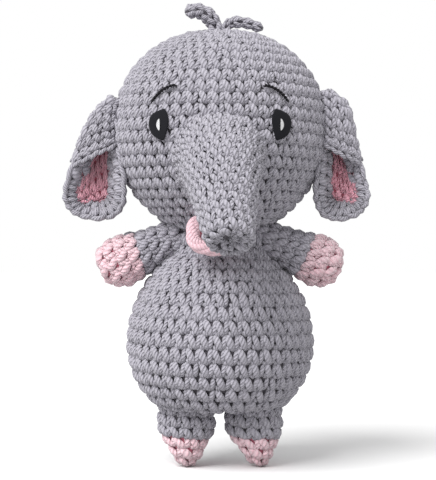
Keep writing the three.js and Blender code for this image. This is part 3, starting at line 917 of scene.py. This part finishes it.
EYE_OUTLINE = [
    (3.0, 6.8), (4.3, 3.4), (4.4, 0.2), (3.4, -4.4), (2.2, -7.2), (-1.2, -6.0), (-3.6, -3.6), (-4.7, 0.6),
    (-3.6, 4.2), (-0.4, 6.2),
]
GLINT_OUTLINE = [(0.0, 2.6), (0.15, 0.0), (0.0, -2.6), (-0.9, -1.8), (-1.4, -0.2), (-1.0, 1.6)]
EYE_X, EYE_Z = 27.7, 160.2
BROW = [(19.4, 177.2), (21.6, 177.7), (25.8, 176.0), (28.9, 173.4), (31.3, 170.4)]


def on_face(sign, x, z, out):
    """A point over the face, out millimetres in front of the loops' tops."""
    return np.array([sign * x, face_y(x, z, out), z])


def felt_patch(name, sign, outline, x, z, thick, lift, material):
    """A patch of felt with a softly rounded edge, laid on the face. Its outline closes on itself."""
    count, corners = 40, len(outline)
    closed = np.array(outline + outline[:2], float)
    border = spline(closed, np.linspace(0, corners / (corners + 1), count, endpoint=False))
    profile = [(0.985, 0.0), (1.0, 0.35), (1.0, 0.7), (0.96, 0.95), (0.86, 1.0), (0.55, 1.04), (0.2, 1.05)]
    points = [
        on_face(sign, x - u * scale, z + v * scale, lift + thick * height)
        for scale, height in profile for u, v in border
    ]
    patch = make_mesh(name, points, tube_faces(len(profile), count))
    fix_normals(patch)
    patch.data.materials.append(material)
    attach(patch, "head")
    return patch


def fix_normals(obj):
    """Turns every face of a piece to point out."""
    work = bmesh.new()
    work.from_mesh(obj.data)
    bmesh.ops.recalc_face_normals(work, faces=work.faces)
    work.to_mesh(obj.data)
    work.free()


def make_eye(name, sign):
    eye_thick, eye_lift, glint_thick = 1.3, 0.4, 0.5
    eye = felt_patch(
        f"{name}_felt_eye", sign, EYE_OUTLINE, EYE_X, EYE_Z, eye_thick, eye_lift, felt,
    )
    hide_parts(f"{name}_eye")
    glint = felt_patch(
        f"{name}_felt_glint", sign, GLINT_OUTLINE, EYE_X - 0.3, EYE_Z - 0.2, glint_thick,
        eye_lift + eye_thick, white_felt,
    )
    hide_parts(f"{name}_eye_glint")


def across_line(line):
    """The two directions across a line at each of its points."""
    ahead = unit(np.gradient(line, axis=0))
    side = unit(np.cross(ahead, [0, 1, 0.01]))
    return side, np.cross(side, ahead)


def twisted(name, path, radius, plies, pitch, material, node, sides=7):
    """Plies twisted round each other along a path on the face, tapering at its ends."""
    cloth = Cloth(name, seed=97)
    samples = 60
    share = np.linspace(0, 1, samples)
    line = spline(path, share)
    run = length_along(line)
    side, over = across_line(line)
    swell = np.clip(np.sin(np.pi * np.clip(share, 0.004, 0.996)) ** 0.25, 0.2, 1)
    offset, ply_radius = radius * 0.48, radius * 0.62 * swell
    for ply in range(plies):
        phase = 2 * math.pi * (ply / plies + run / pitch)
        centre = line + side * (np.cos(phase) * offset)[:, None] + over * (np.sin(phase) * offset)[:, None]
        points = tube_points(centre, side, over, ply_radius, ply_radius, sides)
        along, around = np.repeat(run, sides), np.tile(np.arange(sides) / sides, samples)
        cloth.add(points, tube_faces(samples, sides), along, around, 0.5)
    piece = cloth.finish([material])
    fix_normals(piece)
    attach(piece, "head")
    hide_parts(node)


def make_brow(name, sign):
    path = [on_face(sign, x, z, 1.2) for x, z in BROW]
    twisted(f"{name}_brow_thread", path, 0.74, 2, 3.2, thread, f"{name}_brow")


LIP_PATH = [
    (-8.2, -30.5, 113.5), (-10.0, -32, 116.2), (-11.8, -33, 115.4), (-12.4, -34, 111.8),
    (-12.0, -35, 108.0), (-10.0, -36, 105.6), (-6.4, -36.6, 104.4), (-2.0, -36.6, 103.8),
    (2.2, -35.4, 104.6), (5.0, -33, 108), (5.6, -29.8, 112),
]


def mouth_point(share, depth):
    """A point of the mouth's hollow: share runs along the lip, and depth from the lip back to the head."""
    share, depth = np.broadcast_arrays(np.asarray(share, float), np.asarray(depth, float))
    lip = spline(LIP_PATH, share)
    turn = math.pi * np.clip(share, 0, 1)
    x = -1 - 7 * np.cos(turn)
    z = 119 - 4 * np.sin(turn)
    root = np.stack([x, np.vectorize(face_y)(x, z) + 2.0, z], axis=-1)
    return lip + (root - lip) * depth[..., None]


def make_mouth():
    """A lip, one thick twisted strand, round the mouth's hollow, which is open behind the trunk."""
    twisted("mouth_lip_crochet", LIP_PATH, 3.1, 5, 26, lip_yarn, "mouth_lip", sides=12)

    def at(share, depth, out):
        along = mouth_point(share + 0.01, depth) - mouth_point(share - 0.01, depth)
        inward = mouth_point(share, depth + 0.01) - mouth_point(share, depth - 0.01)
        return mouth_point(share, depth) - unit(np.cross(along, inward)) * np.asarray(out)[..., None]

    rows, columns = 4, 12

    def place(cell, x, y, out):
        row, column = cell
        return at((column + x) / columns, 0.02 + (row + y) / rows * 0.96, out)

    cloth = Cloth("mouth_crochet", seed=93)
    cells = [(row, column) for row in range(rows) for column in range(columns)]
    cloth.stitch(single_crochet(*HOLLOW_STITCH), place, cells)
    # The hollow's backing is in the dark pink: painted shade deep in the mouth, behind its loops.
    size = 17
    steps, depths = np.linspace(0.02, 0.98, size), np.linspace(0, 1, size)
    outer, inner = grid_points(at, steps, depths, -0.4), grid_points(at, steps, depths, -1.4)
    cloth.add_backing(np.vstack([outer, inner]), slab_faces(size, True))
    hollow = cloth.finish([lip_yarn, pink_painted_gap_shade])
    fix_normals(hollow)
    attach(hollow, "head")
    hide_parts("mouth_lining")


# Hair tufts and tail: chains of stitches.


def chain_piece(name, path, radius, link, start, end, node):
    """A crocheted cord: a core with three columns of chain stitches round it; the core's dark material is
    painted shade between them.
    """
    cloth = Cloth(name, seed=101)
    length = length_along(spline(path, np.linspace(0, 1, 50)))[-1]
    count = max(3, round(length / link))

    def frame_at(share):
        line = spline(path, share)
        ahead = unit(spline(path, share + 0.01) - spline(path, share - 0.01))
        side = unit(np.cross(ahead, [0, 1, 0.01]))
        return line, side, np.cross(side, ahead)

    columns = 3
    for column in range(columns):
        base = 2 * math.pi * column / columns + 0.5

        def place(cell, x, y, out, base=base):
            share = np.clip((cell + y) / count, 0, 0.995)
            line, side, over = frame_at(share)
            close = np.sqrt(np.clip(1 - np.clip((share - 0.86) / 0.14, 0, 1) ** 2, 0.12, 1))
            angle = base + (x - 0.5) * 2 * math.pi / columns
            reach = (radius * 0.72 + out) * close
            return line + side * (np.cos(angle) * reach)[:, None] + over * (np.sin(angle) * reach)[:, None]

        cloth.stitch(chain_link(radius * 2.0, link), place, np.arange(count) + 0.3 * column / columns)
    samples, sides = 24, 10
    core = radius * 0.62
    points = tube_points(*frame_at(np.linspace(0, 0.97, samples)), core, core, sides)
    # The core is in the dark backing material: painted shade between the columns of chain stitches.
    cloth.add_backing(points, tube_faces(samples, sides))
    piece = cloth.finish([grey, grey_painted_gap_shade])
    fix_normals(piece)
    tuple(to_frame(start))
    tuple(to_frame(end))
    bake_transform(piece)
    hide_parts(node)


def make_tufts():
    curled = [(-1.5, -5, 205.5), (-3, -5.2, 211.4), (-6.2, -5.4, 215), (-11, -6, 217), (-16.8, -6.6, 216.2)]
    chain_piece(
        "right_tuft_crochet", curled, 3.2, 4.9,
        (-2, -5, 209), (-4, -5, 213), "right_hair_tuft",
    )
    lying = [(1.5, -5, 206), (4.0, -5.2, 210.6), (8.5, -5.4, 211.8), (14.5, -6, 210.8), (20.6, -6.4, 208.2)]
    chain_piece(
        "left_tuft_crochet", lying, 2.2, 4.2,
        (2.6, -5, 209), (6, -5, 211.5), "left_hair_tuft",
    )


def make_tail():
    path = [(0, 38, 50), (0, 42.5, 48.2), (0, 46, 44), (0, 47.8, 37), (0, 48.2, 28)]
    chain_piece("tail_crochet", path, 2.6, 4.4, (0, 39.5, 50), (0, 43.5, 47), "tail")


# Floor, light and camera.


def make_floor():
    """A pale floor, which looks white and throws less light back up."""
    size = 4.0
    corners = [(-size, -size, 0), (size, -size, 0), (size, size, 0), (-size, size, 0)]
    mesh = bpy.data.meshes.new("floor")
    mesh.from_pydata(corners, [], [(0, 1, 2, 3)])
    floor = bpy.data.objects.new("floor", mesh)
    pale = bpy.data.materials.new("pale_floor")
    pale.use_nodes = True
    nodes, links = pale.node_tree.nodes, pale.node_tree.links
    nodes["Principled BSDF"].inputs["Roughness"].default_value = 0.95
    mix = nodes.new("ShaderNodeMix")
    mix.data_type = "RGBA"
    mix.inputs["A"].default_value = (0.52, 0.52, 0.52, 1)
    mix.inputs["B"].default_value = (0.95, 0.95, 0.95, 1)
    links.new(nodes.new("ShaderNodeLightPath").outputs["Is Camera Ray"], mix.inputs["Factor"])
    links.new(mix.outputs["Result"], nodes["Principled BSDF"].inputs["Base Color"])
    mesh.materials.append(pale)
    bpy.context.scene.collection.objects.link(floor)


def make_light():
    """A room that shows white behind the toy but lights it less, and a large soft lamp high on the left."""
    world = bpy.data.worlds.new("studio")
    bpy.context.scene.world = world
    world.use_nodes = True
    nodes, links = world.node_tree.nodes, world.node_tree.links
    background = nodes["Background"]
    path = nodes.new("ShaderNodeLightPath")
    strength = nodes.new("ShaderNodeMapRange")
    strength.inputs["To Min"].default_value = 0.64
    strength.inputs["To Max"].default_value = 1.0
    links.new(path.outputs["Is Camera Ray"], strength.inputs["Value"])
    links.new(strength.outputs["Result"], background.inputs["Strength"])
    background.inputs["Color"].default_value = (1.0, 1.0, 1.0, 1)
    sun = bpy.data.lights.new("key_light", "SUN")
    sun.energy = 3.1
    sun.angle = math.radians(40)
    lamp = bpy.data.objects.new("key_light", sun)
    lamp.rotation_euler = Vector((0.52, 0.62, -0.86)).to_track_quat("-Z", "Y").to_euler()
    bpy.context.scene.collection.objects.link(lamp)


def make_camera():
    """A level camera in front of the toy, which sees frame_height of it."""
    data = bpy.data.cameras.new("camera")
    camera = bpy.data.objects.new("camera", data)
    bpy.context.scene.collection.objects.link(camera)
    bpy.context.scene.camera = camera
    distance, height, aside = 0.70, 0.108, -0.96 * MM
    camera.location = (aside, AXIS_Y * MM - distance, height)
    camera.rotation_euler = (math.radians(90), 0, 0)
    frame_height = 230.4 * MM
    data.sensor_width = 36
    data.lens = data.sensor_width * distance / frame_height


make_camera()
make_floor()
make_light()
make_head()
make_body()
make_neck()
make_trunk()
for side_name, side_sign in SIDES:
    make_arm(side_name, side_sign)
    make_leg(side_name, side_sign)
    make_ear(side_name, side_sign)
    make_eye(side_name, side_sign)
    make_brow(side_name, side_sign)
make_mouth()
make_tufts()
make_tail()

bpy.context.scene.view_settings.view_transform = "Standard"
